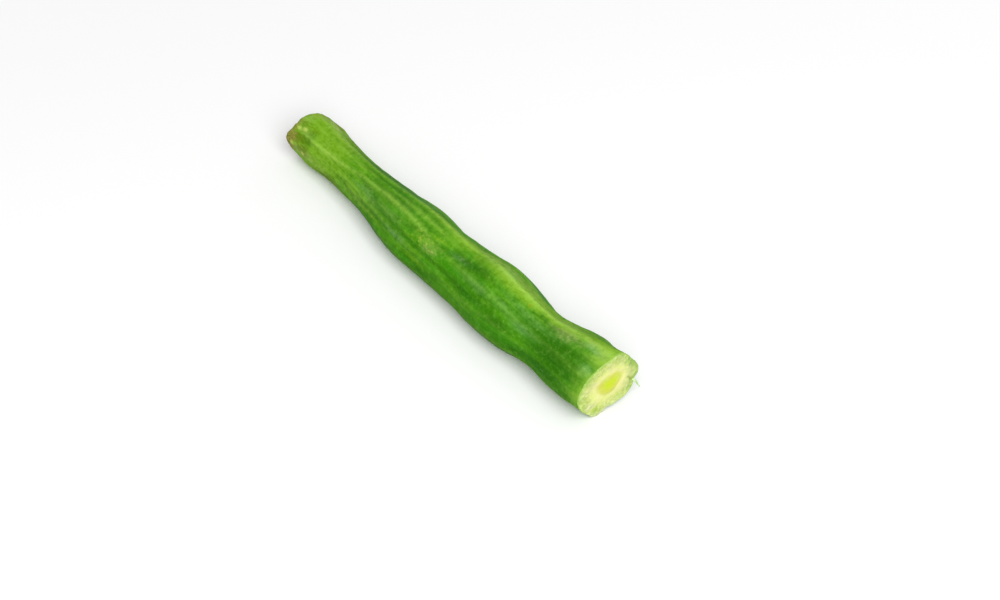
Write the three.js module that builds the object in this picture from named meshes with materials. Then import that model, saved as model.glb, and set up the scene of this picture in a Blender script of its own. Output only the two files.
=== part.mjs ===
// One cut length of drumstick pod (Moringa oleifera), lying on a table. It is one solid, because
// its rind, its pith and the seed that the knife went through grew together.
//
// Millimetres, +Z up. The pod lies along X, with its narrow dried end at -X and its fresh cut face
// at +X. The origin is on the table, under the middle of the pod's bounding box.

import * as THREE from "three";

// Driving dimensions
const LENGTH = 120;
// Mean radius at equal steps from the narrow end to the cut face. The pod swells over each seed.
const RADII = [6.9, 6.1, 5.7, 6.0, 7.2, 8.2, 7.9, 8.1, 9.1, 8.4, 7.1, 8.5, 9.2];
// How far the middle line bends towards +Y at the same places.
const BENDS = [0, -0.3, -0.9, -1.3, -1.8, -2.0, -2.1, -1.9, -1.6, -2.0, -1.8, -0.9, 0];
const NARROW_END_HEIGHT = 6.1; // height of the middle line above the table at each end
const CUT_END_HEIGHT = 9.5;

// Section: a rounded triangle of three valves, with nine ribs along it. Shares of the radius.
const CORNERS = 3;
const CORNER_SHARE = 0.045;
const RIBS = 9;
const RIB_SHARE = 0.018;

// Neither end is square to the pod. A slope is how far the end face moves towards +X for each
// millimetre towards +Y, and for each millimetre up, and it dies out within END_REACH.
const NARROW_SLOPE = { side: 0.5, up: -0.2 };
const CUT_SLOPE = { side: 0.12, up: 0.06 };
const END_REACH = 15;

// The narrow end is an old cut that has dried, with a rounded rim and sunken pith.
const RIM_ROUNDING = 2;
const PITH_DISH = 0.8;

// Mesh fineness
const FACETS_AROUND = RIBS * 8;
const RINGS_ALONG = 40;
const RINGS_IN_RIM = 3;

const RIND = new THREE.MeshStandardMaterial({
  name: "rind",
  color: new THREE.Color().setRGB(0.36, 0.6, 0.16, THREE.SRGBColorSpace),
  roughness: 0.45,
  metalness: 0,
});

// A smooth curve through values given at equal steps along the pod.
function curveAlong(values) {
  const step = LENGTH / (values.length - 1);
  return new THREE.SplineCurve(values.map((value, i) => new THREE.Vector2(i * step, value)));
}

// The outline to turn, as (radius, distance from the narrow end), from axis to axis.
function outline() {
  const faceRadius = RADII[0] - RIM_ROUNDING;
  const points = [
    new THREE.Vector2(0, PITH_DISH),
    new THREE.Vector2(faceRadius * 0.75, PITH_DISH * 0.4),
  ];
  for (let i = 0; i < RINGS_IN_RIM; i++) {
    const turn = (i / RINGS_IN_RIM) * (Math.PI / 2);
    const radius = faceRadius + RIM_ROUNDING * Math.sin(turn);
    points.push(new THREE.Vector2(radius, RIM_ROUNDING * (1 - Math.cos(turn))));
  }
  for (const { x: distance, y: radius } of curveAlong(RADII).getPoints(RINGS_ALONG)) {
    if (distance >= RIM_ROUNDING) points.push(new THREE.Vector2(radius, distance));
  }
  points.push(new THREE.Vector2(RADII.at(-1) / 2, LENGTH));
  points.push(new THREE.Vector2(0, LENGTH));
  return points;
}

const bendSamples = curveAlong(BENDS).getPoints(RINGS_ALONG * 4);

// The middle line's sideways place and direction at a distance from the narrow end.
function middleLine(distance) {
  const next = Math.max(1, bendSamples.findIndex(({ x }) => x >= distance));
  const before = bendSamples[next - 1];
  const after = bendSamples[next];
  const slope = (after.y - before.y) / (after.x - before.x);
  return { side: before.y + slope * (distance - before.x), angle: Math.atan(slope) };
}

// How far a point moves along the pod because the end face near it leans.
function lean(slope, fromEnd, across, up) {
  const share = Math.max(0, 1 - fromEnd / END_REACH) ** 2;
  return share * (slope.side * across + slope.up * up);
}

// Gives a point of the turned shape its corners, ribs, leaning ends and bend, and lays it down.
function layDown(place) {
  const distance = place.y;
  const angle = Math.atan2(place.x, place.z); // 0 is the top of the pod
  const swell = 1 + CORNER_SHARE * Math.cos(CORNERS * angle) + RIB_SHARE * Math.cos(RIBS * angle);
  const across = -place.x * swell;
  const up = place.z * swell;
  const leaning =
    lean(NARROW_SLOPE, distance, across, up) + lean(CUT_SLOPE, LENGTH - distance, across, up);
  const middle = middleLine(distance);
  const height = THREE.MathUtils.mapLinear(distance, 0, LENGTH, NARROW_END_HEIGHT, CUT_END_HEIGHT);
  place.set(
    distance + leaning - across * Math.sin(middle.angle),
    middle.side + across * Math.cos(middle.angle),
    Math.max(0, height + up), // the lowest ribs are pressed flat where they carry the pod
  );
}

function podGeometry() {
  const geometry = new THREE.LatheGeometry(outline(), FACETS_AROUND);
  const position = geometry.getAttribute("position");
  const place = new THREE.Vector3();
  for (let i = 0; i < position.count; i++) {
    place.fromBufferAttribute(position, i);
    layDown(place);
    position.setXYZ(i, place.x, place.y, place.z);
  }
  geometry.computeBoundingBox();
  const centre = geometry.boundingBox.getCenter(new THREE.Vector3());
  geometry.translate(-centre.x, -centre.y, 0);
  geometry.computeVertexNormals();
  return geometry;
}

const pod = new THREE.Mesh(podGeometry(), RIND);
pod.name = "pod_segment";

const segment = new THREE.Group();
segment.add(pod);

export default segment;
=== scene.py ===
"""Looks for one cut length of drumstick pod (Moringa oleifera), lying on a table.

The pod is one closed mesh. Its rows run from the middle of the dried narrow end, over that end's
rounded rim, along the rind, over the rim of the fresh cut and in to the middle of the cut face.
Lengths are in millimetres until the mesh is made, and angles around the pod are in degrees: 0 is
the top, and they grow towards -Y.
"""

import math
from functools import reduce
from types import SimpleNamespace

import bpy
import numpy as np
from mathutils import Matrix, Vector


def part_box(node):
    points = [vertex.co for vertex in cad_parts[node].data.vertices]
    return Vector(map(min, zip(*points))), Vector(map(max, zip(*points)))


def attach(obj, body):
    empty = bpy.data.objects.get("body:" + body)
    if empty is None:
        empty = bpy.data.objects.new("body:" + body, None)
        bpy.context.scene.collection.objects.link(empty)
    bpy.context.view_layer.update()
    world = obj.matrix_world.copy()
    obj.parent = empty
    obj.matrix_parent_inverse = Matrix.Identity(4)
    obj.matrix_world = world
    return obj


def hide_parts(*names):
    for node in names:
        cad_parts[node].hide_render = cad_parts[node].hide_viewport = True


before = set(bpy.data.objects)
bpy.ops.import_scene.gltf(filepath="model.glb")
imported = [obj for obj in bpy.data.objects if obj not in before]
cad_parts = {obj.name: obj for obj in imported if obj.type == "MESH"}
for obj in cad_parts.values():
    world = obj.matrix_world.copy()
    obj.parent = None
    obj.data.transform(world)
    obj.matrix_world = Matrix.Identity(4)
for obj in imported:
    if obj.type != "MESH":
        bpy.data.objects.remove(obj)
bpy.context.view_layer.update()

MM = 0.001

# ---------- The pod's form, as in the CAD part ----------
LENGTH = 120.0
# Mean radius at equal steps from the narrow end to the cut face. The pod swells over each seed.
RADII = [6.9, 6.1, 5.7, 6.0, 7.2, 8.2, 7.9, 8.1, 9.1, 8.4, 7.1, 8.5, 9.2]
# How far the middle line bends towards +Y at the same places.
BENDS = [0, -0.3, -0.9, -1.3, -1.8, -2.0, -2.1, -1.9, -1.6, -2.0, -1.8, -0.9, 0]
END_HEIGHTS = (6.1, 9.5)  # of the middle line, at the narrow end and at the cut
CORNERS = 3
CORNER_SHARE = 0.045
# How far the ends' faces lean to +X for each mm to +Y and for each mm up, and how far along the
# pod from each end that is felt.
CAD_NARROW_SLOPE = (0.5, -0.2)
CUT_SLOPE = (0.12, 0.06)
END_REACH = 15.0
CAD_RIM_ROUNDING = 2.0
CAD_RIBS = 9  # the CAD part has even ribs, and the mesh here has RIBS in their place
CAD_RIB_SHARE = 0.018

# ---------- What the CAD part leaves out ----------
NARROW_SLOPE = (0.42, -0.1)  # a little less than the CAD part's
RIM_ROUNDING = 0.8
DRIED_FACE = 1 - RIM_ROUNDING / RADII[0]  # the share of the radius where the dried face ends
CUT_ROUNDING = 0.25
# The ends' outlines: the radius at every 20 degrees from the top. The rind takes on an end's outline
# within its reach.
DRIED_OUTLINE = [7.2, 6.9, 6.3, 6.5, 7.1, 6.8, 6.5, 6.6, 6.6, 6.5, 6.7, 7.0, 7.1, 6.9, 6.6, 6.2, 6.3, 7.1]
DRIED_REACH = 9.0
CUT_OUTLINE = [8.9, 8.7, 8.9, 9.1, 9.4, 9.3, 9.0, 9.3, 10.2, 8.8, 8.8, 10.0, 9.6, 9.5, 9.2, 8.8, 9.2, 9.9]
CUT_REACH = 9.0
FRINGE = 6.5  # the rind grows paler over this length towards the cut
FRINGE_LEAST = 0.5  # its strength underneath, where it is 1 on top
# Where the fringe is missing, as soft patches like those of the skin further down.
FRINGE_GAPS = [
    (116.5, 31, 5, 8, 0.85), (117.5, 56, 3, 8, 0.6), (118, 205, 5, 16, 0.6), (117, 285, 5, 12, 0.5),
]
RAGGED_REACH = 0.8  # how far the cut's torn edge runs back along the rind
# Swellings and hollows: (distance, angle, half length, half width, height).
SWELLINGS = [
    (8, 120, 4, 26, 0.5), (58, 120, 20, 26, 0.2), (94, 120, 12, 26, 0.2), (61, -62, 3, 20, -0.4),
    (92.5, -58, 3, 20, -0.7), (102, -44, 3, 20, 0.25), (117, -50, 2.8, 28, -1.05),
    (112, -43, 2, 16, 0.1), (120, 248, 2.4, 8, -0.75), (40, -43, 4, 16, -0.22),
    (8.5, -48, 3, 18, -0.35), (23, 120, 6, 24, 0.2), (42, 119, 5, 24, 0.2), (51.5, 120, 3, 20, -0.15),
    (113, 120, 5, 20, -0.25), (47, -43, 5, 18, -0.2), (6, 14, 4, 24, -0.15), (34, 40, 6, 20, -0.2),
    (50, 250, 8, 24, 0.3), (78, 205, 7, 26, -0.25), (104, 235, 6, 22, 0.25), (24, 190, 6, 24, 0.2),
]

# Ribs: (distance, angle, height, paleness along the rib's top, partly painted highlight) along each of them.
RIBS = [
    [(0, -8, 0.1, 0.2), (20, -16, 0.15, 0.35), (40, -15, 0.2, 0.35), (58, -16, 0.3, 0.65),
     (70, -11, 0.3, 0.55), (82, -4, 0.4, 1.0), (94, -7, 0.4, 1.0), (103, -11, 0.3, 0.9),
     (113, -7, 0.25, 0.8), (120, -4, 0.2, 0.7)],
    [(0, 10, 0.1, 0.1), (21, 5, 0.15, 0.35), (35, 2, 0.15, 0.1), (52, 4, 0.2, 0.5), (64, 5, 0.15, 0.2),
     (82, 12, 0.1, 0.1), (100, 14, 0.1, 0), (120, 18, 0.15, 0.2)],
    [(0, 46, 0.1, 0.1), (8, 44, 0.25, 0.7), (12, 41, 0.3, 1.2), (20, 36, 0.2, 0.5), (27, 22, 0.2, 0.45),
     (42, 18, 0.25, 0.7), (53, 21, 0.2, 0.6), (60, 30, 0.1, 0.2), (78, 37, 0.2, 0.2), (90, 37, 0.2, 0.2),
     (103, 42, 0.1, 0.1), (120, 46, 0.15, 0.2)],
    [(0, 75, 0.1, 0.1), (18, 64, 0.15, 0.2), (27, 61, 0.2, 0.55), (36, 62, 0.2, 0.3), (50, 68, 0.2, 0.15),
     (62, 72, 0.25, 0.1), (80, 76, 0.2, 0.15), (96, 74, 0.2, 0.1), (108, 78, 0.15, 0), (120, 80, 0.2, 0.3)],
    [(0, 112, 0.1, 0), (14, 96, 0.2, 0.2), (30, 96, 0.2, 0.15), (48, 100, 0.25, 0.15), (66, 108, 0.25, 0.15),
     (88, 104, 0.3, 0.2), (104, 112, 0.3, 0.15), (120, 117, 0.25, 0.4)],
    [(0, 150, 0.1, 0), (25, 140, 0.2, 0.3), (55, 146, 0.2, 0.4), (85, 150, 0.25, 0.3), (120, 156, 0.2, 0.3)],
    [(0, 200, 0.1, 0), (30, 188, 0.15, 0.3), (60, 192, 0.15, 0.3), (90, 200, 0.2, 0.4), (120, 198, 0.2, 0.3)],
    [(0, 240, 0.1, 0), (22, 232, 0.3, 0.8), (50, 226, 0.35, 0.7), (76, 236, 0.35, 0.9), (100, 240, 0.35, 0.8),
     (120, 238, 0.25, 0.5)],
    [(0, 282, 0.1, 0), (24, 272, 0.2, 0.4), (48, 264, 0.2, 0.5), (80, 278, 0.25, 0.3), (120, 276, 0.2, 0.3)],
    [(0, 322, 0.1, 0), (26, 308, 0.2, 0.3), (52, 306, 0.2, 0.2), (78, 318, 0.15, 0.4), (96, 324, 0.1, 0.2),
     (120, 316, 0.2, 0.3)],
]
RIB_HALF_WIDTH = 7.0  # degrees
RIB_SHARPNESS = 1.6
RIBS_LOST_AT_CUT = 0.8
CREST_HALF_WIDTH = 4.2  # degrees
CREST_CORE = 0.65  # the rest of its paleness and painted highlight is a glow around it
CREST_GLOW = 2.8  # how many times wider than the core the glow is

# Grooves between the ribs, sunk a little in the relief and darkened with painted shade: (strength, half
# width, [(distance, angle), ...]).
GROOVES = [
    (0.6, 5, [(30, 10), (40, 11), (50, 12)]),
    (0.7, 5, [(24, -2), (36, -5), (46, -1)]),
    (0.5, 6, [(24, 30), (32, 33), (42, 27)]),
    (0.8, 5, [(38, 50), (50, 55), (62, 59), (74, 61), (84, 64)]),
    (0.8, 7, [(66, 16), (72, 18), (80, 22)]),
    (0.7, 8, [(94, 28), (106, 27), (116, 29)]),
    (0.8, 9, [(98, 62), (110, 62), (118, 60)]),
    (0.4, 6, [(60, 92), (80, 90), (100, 92)]),
    (0.5, 6, [(10, 122), (50, 124), (90, 128), (116, 134)]),
    (0.5, 6, [(6, 172), (40, 168), (70, 172), (112, 178)]),
    (0.5, 6, [(14, 214), (44, 208), (84, 218), (116, 216)]),
    (0.6, 6, [(8, 258), (40, 246), (70, 254), (114, 258)]),
    (0.5, 6, [(12, 294), (50, 284), (90, 300), (116, 298)]),
    (0.4, 6, [(20, 332), (56, 330), (84, 338), (112, 336)]),
]
GROOVE_DEPTH = 0.12
GROOVE_FADE = 6.0  # the length over which a groove starts and ends
RELIEF_MIDDLE = 0.06  # the relief's mean height, which keeps the pod at its CAD size

# Seeded noise over the skin: (size, seed, waves in one turn, waves in 100 mm, how many add up).
RIPPLES = {
    # How far ribs and grooves stray from their lines, in degrees.
    "wander": (1.4, 1, (0, 4), (1, 5), 48),
    "lumps": (0.06, 2, (1, 6), (1, 6), 48),
    "dimples": (0.03, 3, (6, 16), (4, 14), 48),
    "fibres": (0.018, 4, (24, 56), (2, 9), 90),
    "pores": (0.014, 5, (10, 30), (10, 30), 90),
    "wall_shreds": (0.04, 8, (12, 40), (0, 150), 48),
    "folds": (1, 9, (5, 30), (0, 60), 48),
    "ragged_coarse": (1, 11, (3, 13), (0, 0), 48),
    "torn_places": (1, 12, (1, 5), (0, 0), 48),
    "ragged_fine": (1, 13, (14, 34), (0, 0), 48),
}
# The cut's torn edge: its height where it is whole, and what is added where it is torn.
RAGGED_EDGE = {"ragged_coarse": (0.03, 0.08), "ragged_fine": (0.01, 0.05)}
RAGGED_TURN = 7.0  # degrees between the edge's unevenness outwards and that towards +X

# Soft patches of the skin: (distance, angle, half length, half width, strength).
SKIN_PATCHES = {
    "young": [
        (6, 40, 20, 400, 1.0), (14, 82, 5, 8, 0.9), (26, 72, 6, 7, 0.8), (36, 80, 8, 7, 0.6),
        (74, 0, 5, 8, 0.6), (68, -28, 8, 10, 0.3), (57, 81, 7, 8, 0.6), (79, 20, 5, 7, 0.45),
        (98, 10, 3, 6, 0.5), (84, 50, 4, 6, 0.4), (56, -10, 3, 6, 0.5), (31, 85, 6, 8, 0.6),
        (18, 70, 3, 6, 0.5), (96, 18, 12, 10, 0.35), (28, 0, 4, 6, 0.6), (52, 50, 5, 8, 0.4),
        (52, 66, 8, 8, 0.5), (58, 34, 6, 16, 0.4), (60, 2, 5, 8, 0.35), (61, 18, 4, 7, 0.6),
        (58, -20, 8, 12, 0.7), (68, -14, 9, 17, 0.8), (78, -22, 8, 10, 1.0), (87, -2, 12, 13, 1.0),
        (104, -4, 8, 12, 0.8), (98, -22, 22, 14, 1.0), (116, -12, 8, 14, 0.9), (28, 236, 24, 20, 0.5),
        (84, 240, 22, 14, 0.6),
    ],
    "faded": [
        (3.4, -17, 1.6, 8, 1.0), (6.6, -26, 3, 9, 1.3), (0.6, 0, 2.0, 36, 0.6), (3, -28, 3, 12, 0.5),
        (8, -32, 6, 10, 0.5), (12, -16, 8, 10, 0.35), (7, 92, 9, 14, 0.4), (33, 52, 6, 10, 0.3),
        (43, 42, 6, 9, 0.3), (28, 82, 7, 9, 0.3), (114.5, -1, 2.2, 6, 0.5), (84, -21, 14, 8, 0.4),
        (104, -20, 5, 8, 0.3), (4, 38, 2, 8, 0.4), (60, 42, 3, 9, 0.4), (107, 6, 5, 9, 0.6),
        (118.5, 2, 3, 12, 0.8), (112, 250, 5, 9, 0.6), (8, 262, 5, 12, 0.6), (5, 88, 2.6, 11, 1.0),
    ],
    # darker green, and painted shade: the patches along the underside, at about 90 to 120 degrees, and along
    # the far upper flank, at about -20 to -36 degrees
    "deep_green_and_shade": [
        (108, 44, 15, 32, 0.8), (106, 88, 11, 22, 0.9), (89, 67, 9, 13, 0.8), (26, -26, 16, 14, 0.9),
        (20, 96, 9, 11, 0.6), (14, 58, 5, 8, 0.35), (56, 106, 26, 12, 0.9), (45, 10, 6, 17, 0.65),
        (40, 18, 8, 10, 0.65), (45, 0, 4, 7, 0.55), (46, 60, 5, 6, 0.6), (32, -22, 12, 8, 0.45),
        (88, 30, 4, 6, 0.6), (15, 60, 6, 6, 0.45), (70, 102, 14, 9, 0.5), (49, 64, 4, 12, 0.65),
        (6, 46, 2.5, 34, 0.6), (60, 47, 4, 9, 0.3), (78, 82, 6, 9, 0.35), (113, 72, 6, 9, 0.35),
        (28, 26, 8, 8, 0.45), (96, 99, 3.5, 10, 1.0), (90, 30, 3, 6, 0.4), (74, 62, 14, 20, 0.5),
        (60, 100, 9, 14, 0.8), (92, 118, 46, 26, 1.0), (44, 50, 10, 10, 0.3), (30, 12, 9, 18, 0.2),
        (36, -34, 16, 18, 0.9), (36, 110, 14, 20, 0.9), (15, 112, 6, 12, 0.7), (70, 190, 40, 40, 0.3),
        (100, 288, 22, 30, 0.6),
    ],
    # pale waxy bloom, partly a painted sheen where soft highlights fall
    "bloom_and_sheen": [
        (79, 39, 6, 7, 0.35), (89, 36, 5, 7, 0.3), (96, 19, 9, 8, 0.3), (96, 46, 4, 9, 0.45),
        (48, 66, 4, 6, 0.6), (69, 22, 3, 5, 0.4), (31, 44, 5, 6, 0.4), (115.5, 3, 2.5, 6, 0.9),
        (118, 38, 2, 9, 0.9), (83, -12, 3, 6, 0.4), (58, 250, 8, 9, 0.5), (96, 222, 10, 7, 0.5),
        (34, 280, 9, 8, 0.4),
    ],
    "scuff": [
        (104.5, 4, 2.0, 4, 0.8), (107.5, 9, 2.6, 5, 0.9), (111, 8, 2.2, 4, 0.7), (107, 17, 2, 3, 0.6),
        (3.4, -18, 2.4, 6, 0.6), (5.4, 88, 2.2, 10, 1.0), (31, 34, 2, 6, 0.5), (59.5, 46, 2.2, 5, 0.6),
        (70.5, 20, 1.2, 3, 0.4), (72, 262, 3, 5, 0.8), (18, 300, 3, 5, 0.5), (96, 160, 3, 6, 0.6),
    ],
    "speckle": [
        (58.5, 42, 4.5, 12, 1.0), (56, 30, 3, 6, 0.7), (50, 300, 5, 12, 0.5), (88, 200, 6, 14, 0.5),
    ],
    # olive patches, and painted shade along the far upper edge near the narrow end, at 14 mm and -41 degrees
    "olive_and_shade": [
        (3.8, 62, 3.4, 18, 1.0), (5.8, 78, 2.6, 20, 0.9), (5.4, 26, 2.2, 12, 0.7),
        (2.4, 25, 2.4, 13, 0.7), (15, 106, 7, 14, 0.9), (14, -41, 8, 10, 0.9), (4, 150, 4, 26, 0.6),
        (5, 250, 4, 30, 0.6),
    ],
    "browned": [
        (1.0, 80, 2.4, 28, 1.2), (0.2, 46, 1.6, 34, 0.9), (0, 180, 3, 90, 0.9), (0, 260, 2.2, 60, 0.8),
        (2, -52, 6, 14, 0.9),
    ],
    "spot": [
        (1, -14, 2.5, 26, 0.55), (93.7, 4, 0.8, 3.2, 0.9), (104.6, 266, 0.7, 3, 0.8),
        (44, 214, 0.6, 3, 0.7),
    ],
}
# Small pale corky warts on the narrow end: (distance, angle, radius, height).
WARTS = [
    (1.9, 42, 0.62, 0.22), (3.5, 36, 0.6, 0.18), (2.4, 81, 0.6, 0.22), (5.8, 90, 0.5, 0.1),
    (3.2, 150, 0.5, 0.16), (2.6, 225, 0.6, 0.2), (4.6, 238, 0.45, 0.14), (3.0, 300, 0.5, 0.16),
]

# The seed that the knife went through: its middle and size on the cut face, towards +Y and up.
SEED_MIDDLE = (0.3, 0.25)
SEED_RADIUS = 3.4
SEED_CORNER = 25.0  # degrees from +Y of one of its three blunt corners
SEED_CORNER_SHARE = 0.1
SEED_LONGER_SHARE = 0.06
SEED_DOME = (1.05, 0.12)  # how far it reaches, in seed radii, and its height
SEED_GAP = (1.06, 0.09, 0.1)  # the groove around it: (place, half width, depth)

# A short tear in the cut face beside the shred, from and to (across, up).
TEAR = ((5.9, -0.8), (7.4, -3.1))
TEAR_HALF_WIDTH = 0.3
TEAR_DEPTH = 0.2
# The cut face's relief.
WALL = (0.6, 0.2)  # the share of the radius where the wall begins, and over which it comes in
CUT_RIM = (0.93, 0.07)
CALM_AT_RIM = 0.7  # the share of the relief that is lost at the rim
TORN_HEIGHT = (0.02, 0.04)  # everywhere, and what is added in the wall
BROKEN_SIDE = (4.4, 3.2, 0.4)  # how far across it begins, the width it comes in over, its depth
# The dried face's relief.
BOWL = (0.9, 1.4)  # its share of the radius, and its depth
CORK = (0.5, 0.45)  # the share of the radius where it begins to end, and over which it ends
FOLDS_HEIGHT = 0.12
FOLDS = (0.35, 0.4)  # the share of the radius where they begin, and over which they come in
# Seeded noise on the end faces: (size, seed, waves in 1 mm, how many add up).
FACE_RIPPLES = {
    "uneven": (0.12, 6, (0.05, 0.2), 60),
    "torn": (1, 7, (0.2, 0.8), 120),
    "pits": (0.09, 10, (0.3, 1.0), 120),
    "lobes": (0.22, 14, (0.06, 0.16), 60),
}
# Greener sides of the cut face, the one towards +Y darkened as painted shade: the (across, up) way to
# one, how far along that way it begins, the width it comes in over, and its strength.
GREENER_AND_SHADED_SIDES = [((1, 0.1), 4.2, 3, 1.0), ((0.5, 1), 7.5, 2, 0.6), ((-1, 0.5), 8, 1.2, 0.6)]
# Spots on the cut face: (across, up, half width, half height, strength).
LIME_SPOT = (-3.9, -6.2, 1.1, 0.95, 1.0)
BLEACHED_SPOT = (-5.2, -4.4, 1.7, 1.4, 0.5)
BLEACHED_RIM = (170, 24)  # its angle and half width, in degrees
BLEACHED_RIM_SHARE = (0.84, 0.12)  # the share of the radius where it begins, and over which

# A shred hanging from the cut's rim: its middle line on the straight pod as (distance, across, up).
TORN_FIBRE = [
    (118.9, 7.0, -2.9), (119.6, 7.5, -3.1), (120.1, 8.1, -3.5), (120.3, 8.7, -4.6), (120.2, 9.4, -6.0),
    (120.1, 10.2, -7.4),
]
TORN_FIBRE_SIZE = (0.28, 0.11)  # half its width and half its thickness
TORN_FIBRE_RINGS = 30
TORN_FIBRE_SIDES = 10
TORN_FIBRE_POINT = 0.1  # how far past its last ring it would come to a point, in path steps

# Mesh fineness.
AROUND = 300
RIND_ROWS = 270
CUT_ROWS = 26
DRIED_ROWS = 16
RIM_ROWS = 7
CUT_RIM_ROWS = 3
CURVE_STEPS = 100  # points worked out between two given values of a curve
BEND_STEP = 0.05  # half the length over which the bend's slope is measured
CAD_RIM_STEPS = 13
CAD_BODY_STEPS = 240
# Ribs and grooves: the softness of their tracks, how much of the pod is averaged to each side, and
# how far the tracks run on past the ends.
TRACK_SOFTNESS = 3.0
TRACK_WINDOW = 12
TRACK_PAST_ENDS = 20

# Where the UV strip of the rind begins, its size, and the discs of the cut and the dried face.
UV_STRIP_CORNER = 0.02
UV_STRIP_SIZE = (0.96, 0.6)
UV_DISC_MIDDLES = ((0.2, 0.82), (0.6, 0.82))
UV_DISC_SCALE = 0.015  # for each mm

SKIN_RADIUS = 8.0  # of the tube on which the skin's pattern is laid out
FAR_FROM_SEED = 9.0  # stands for every place that is not on the cut face
SEED = 11  # for every random choice below


# ---------- Curves and noise ----------
def smoothstep(value):
    """0 below 0, 1 above 1, and smooth in between."""
    x = np.clip(value, 0, 1)
    return x * x * (3 - 2 * x)


def rise(value, start, width):
    """0 up to start, 1 from start + width on, and smooth in between."""
    return smoothstep((value - start) / width)


def bell(offset):
    """1 at an offset of 0, and less to either side."""
    return np.exp(-(offset**2))


def curve_between(before, a, b, after, f):
    """The Catmull-Rom curve at share f of the way from a to b, with the values beside them."""
    start, end = (b - before) / 2, (after - a) / 2
    return (2 * a - 2 * b + start + end) * f**3 + (3 * b - 3 * a - 2 * start - end) * f**2 + start * f + a


def spline(values, t):
    """The smooth curve through values at 0, 1, 2 and so on, with its end points doubled."""
    values = np.asarray(values, float)
    last = len(values) - 1
    i = np.minimum(t.astype(int), last - 1)
    return curve_between(*(values[np.clip(i + k, 0, last)] for k in (-1, 0, 1, 2)), t - i)


def along(values, distance):
    """The smooth curve through values at equal steps along the pod."""
    steps = len(values) - 1
    t = np.linspace(0, steps, CURVE_STEPS * steps + 1)
    places = spline(np.arange(steps + 1) * LENGTH / steps, t)
    return np.interp(distance, places, spline(values, t))


def around(values, angle):
    """The smooth closed curve through values at equal steps around the pod."""
    values = np.asarray(values, float)
    t = np.mod(angle / 360, 1) * len(values)
    i = t.astype(int)
    return curve_between(*(values[(i + k) % len(values)] for k in (-1, 0, 1, 2)), t - i)


def track(points, column, distance):
    """A column of a rib's or groove's points as a soft curve along the pod."""
    steps = np.arange(-TRACK_PAST_ENDS, LENGTH + TRACK_PAST_ENDS + 1)
    values = np.interp(steps, [p[0] for p in points], [p[column] for p in points])
    window = bell(np.arange(-TRACK_WINDOW, TRACK_WINDOW + 1) / TRACK_SOFTNESS)
    values = np.convolve(np.pad(values, TRACK_WINDOW, mode="edge"), window / window.sum(), mode="valid")
    return np.interp(distance, steps, values)


def turn_between(angle, other):
    """The turn from other to angle, between -180 and 180 degrees."""
    return np.mod(angle - other + 180, 360) - 180


def ripples(kind, distance, angle):
    """Seeded noise, smooth and closed around the pod."""
    size, seed, waves_around, waves_along, count = RIPPLES[kind]
    rng = np.random.default_rng([SEED, seed])
    total = np.zeros(np.broadcast(distance, angle).shape)
    for _ in range(count):
        turns = rng.integers(waves_around[0], waves_around[1] + 1)
        cycles = rng.uniform(*waves_along) * rng.choice([-1, 1])
        phase = rng.uniform(0, 2 * math.pi)
        total += np.cos(np.radians(turns * angle) + 2 * math.pi * cycles * distance / 100 + phase)
    return total * math.sqrt(2 / count) * size


def face_ripples(kind, across, up):
    """Seeded noise on a flat face."""
    size, seed, waves, count = FACE_RIPPLES[kind]
    rng = np.random.default_rng([SEED, seed])
    total = np.zeros(np.broadcast(across, up).shape)
    for _ in range(count):
        turn = rng.uniform(0, 2 * math.pi)
        pace = 2 * math.pi * rng.uniform(*waves)
        phase = rng.uniform(0, 2 * math.pi)
        total += np.cos(pace * (across * math.cos(turn) + up * math.sin(turn)) + phase)
    return total * math.sqrt(2 / count) * size


def patch(place, distance, angle):
    """1 in the middle of a place, (distance, angle, half length, half width), and less around it."""
    at, at_angle, half_length, half_width = place
    far = ((distance - at) / half_length) ** 2 + (turn_between(angle, at_angle) / half_width) ** 2
    return np.exp(-far)


def patches(places, distance, angle):
    """How strongly the soft patches cover each point."""
    cover = np.zeros(np.broadcast(distance, angle).shape)
    for *place, strength in places:
        cover = np.maximum(cover, strength * patch(place, distance, angle))
    return cover


# ---------- The rind's relief and marks ----------
def rib_fields(distance, angle):
    """The ribs' height in mm, and how pale the ribs' tops make the skin, partly as painted highlight."""
    angle = angle + ripples("wander", distance, angle)
    height, pale = np.zeros_like(angle), np.zeros_like(angle)
    for rib in RIBS:
        turn = np.abs(turn_between(angle, track(rib, 1, distance)))
        height += track(rib, 2, distance) * np.exp(-((turn / RIB_HALF_WIDTH) ** RIB_SHARPNESS))
        far = turn / CREST_HALF_WIDTH
        paleness = CREST_CORE * bell(far) + (1 - CREST_CORE) * bell(far / CREST_GLOW)
        pale = np.maximum(pale, track(rib, 3, distance) * paleness)
    return height, pale


def groove_field(distance, angle):
    """How far into a groove each point lies, from 0 to 1. The rind sinks there, and its colour takes painted
    shade from it.
    """
    angle = angle + ripples("wander", distance, angle)
    dark = np.zeros_like(angle)
    for strength, half_width, points in GROOVES:
        turn = turn_between(angle, track(points, 1, distance))
        begun = rise(distance, points[0][0] - GROOVE_FADE / 2, GROOVE_FADE)
        ended = rise(distance, points[-1][0] - GROOVE_FADE / 2, GROOVE_FADE)
        dark = np.maximum(dark, strength * begun * (1 - ended) * bell(turn / half_width))
    return dark


def wart_fields(distance, angle):
    """The warts' height in mm, and how much of each point they cover."""
    height = np.zeros(np.broadcast(distance, angle).shape)
    cover = np.zeros_like(height)
    radius = along(RADII, distance)
    for at, at_angle, size, rise_here in WARTS:
        sideways = np.radians(turn_between(angle, at_angle)) * radius
        far = np.hypot(distance - at, sideways) / size
        height = np.maximum(height, rise_here * bell(far))
        cover = np.maximum(cover, bell(far**2))
    return height, cover


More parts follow.
